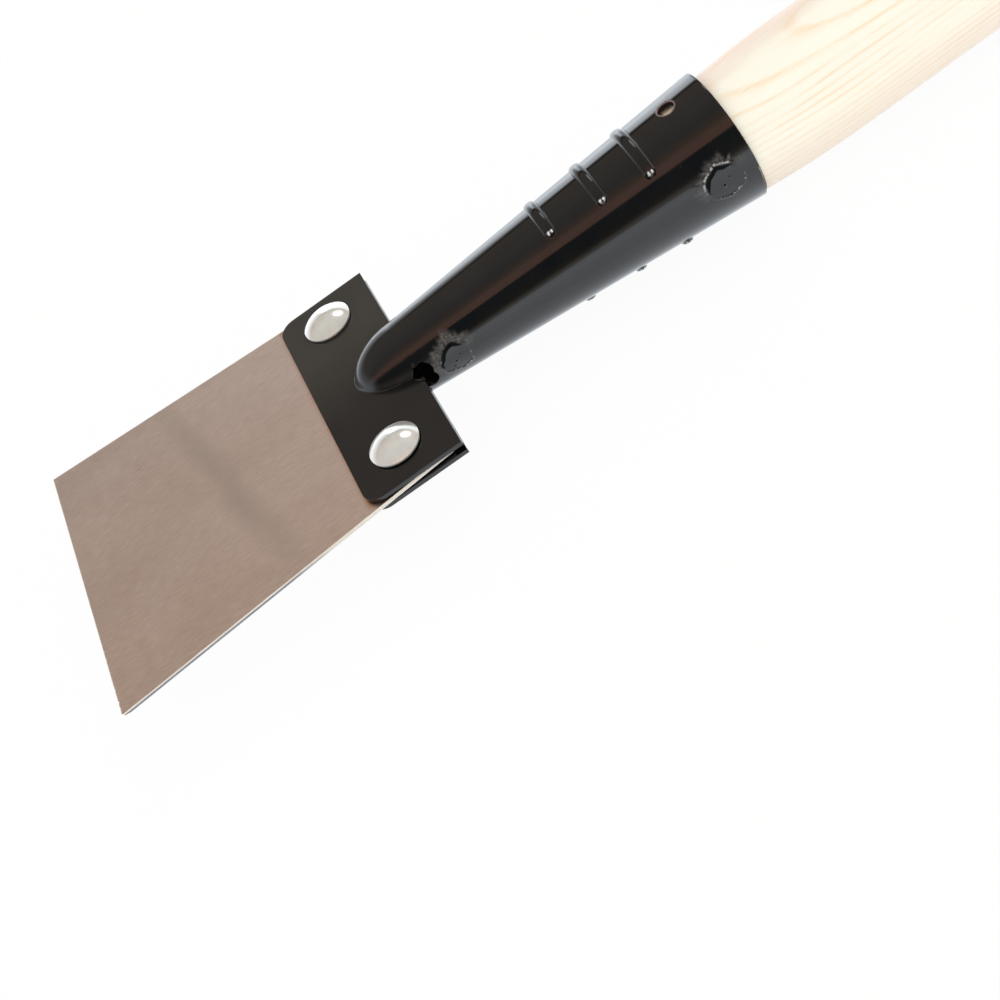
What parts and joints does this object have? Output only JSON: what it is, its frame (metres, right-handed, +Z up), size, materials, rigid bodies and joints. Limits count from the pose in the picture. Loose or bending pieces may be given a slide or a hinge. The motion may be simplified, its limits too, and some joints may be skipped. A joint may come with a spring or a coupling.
{
  "type": "bark spud",
  "caption": "Long handled bark spud with a flat flared steel blade riveted between the plates of a black pressed socket, on a turned ash pole.",
  "frame": {"origin": "on the blade's upper face, midway across the blade and midway along its free length between the cutting edge and the plates", "axes": "+X along the tool from the cutting edge towards the handle's end, +Y across the blade, +Z up out of the blade's upper face"},
  "size_m": [1.3471, 0.1016, 0.0399],
  "materials": {
    "ground_steel": "brushed, grain along the blade, a little warm in tone",
    "black_paint": "gloss black on the socket, satin on the plates",
    "zinc_plate": "bright plated",
    "ash_wood": "sanded, unvarnished, pale"
  },
  "bodies": {
    "root": {"blade": "ground_steel", "upper_socket_half": "black_paint", "lower_socket_half": "black_paint", "rivet_far": "zinc_plate", "rivet_near": "zinc_plate", "handle": "ash_wood", "handle_screw": "zinc_plate"}
  },
  "joints": []
}
